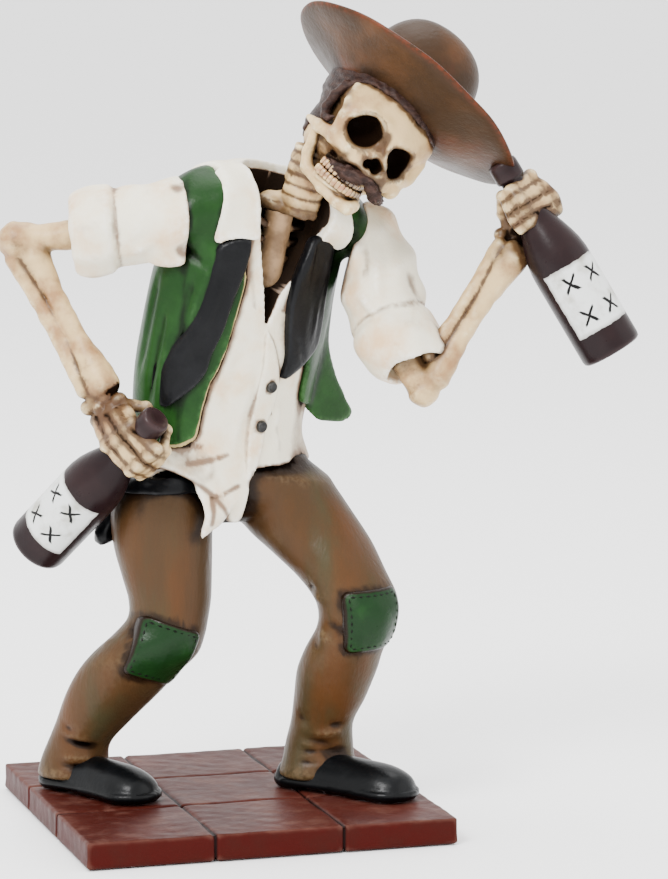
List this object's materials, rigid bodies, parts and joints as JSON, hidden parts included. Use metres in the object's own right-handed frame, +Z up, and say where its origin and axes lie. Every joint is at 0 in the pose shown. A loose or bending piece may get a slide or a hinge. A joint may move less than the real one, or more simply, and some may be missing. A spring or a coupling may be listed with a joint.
{
  "type": "skeleton figurine",
  "caption": "Painted resin skeleton in a wide hat and open waistcoat, leaning forward on bent knees with a bottle in each hand, on a square tiled plinth.",
  "frame": {"origin": "centre of the plinth's underside", "axes": "+X to the right along the plinth's front edge as seen from the front, +Y to its back, +Z up"},
  "size_m": [0.1726, 0.113, 0.2394],
  "materials": {
    "painted_figure": "hand-painted resin, satin, with a brown wash in the hollows",
    "painted_base": "hand-painted resin, satin red-brown"
  },
  "bodies": {
    "root": {"skeleton_figure": "painted_figure", "tiled_base": "painted_base"}
  },
  "joints": []
}
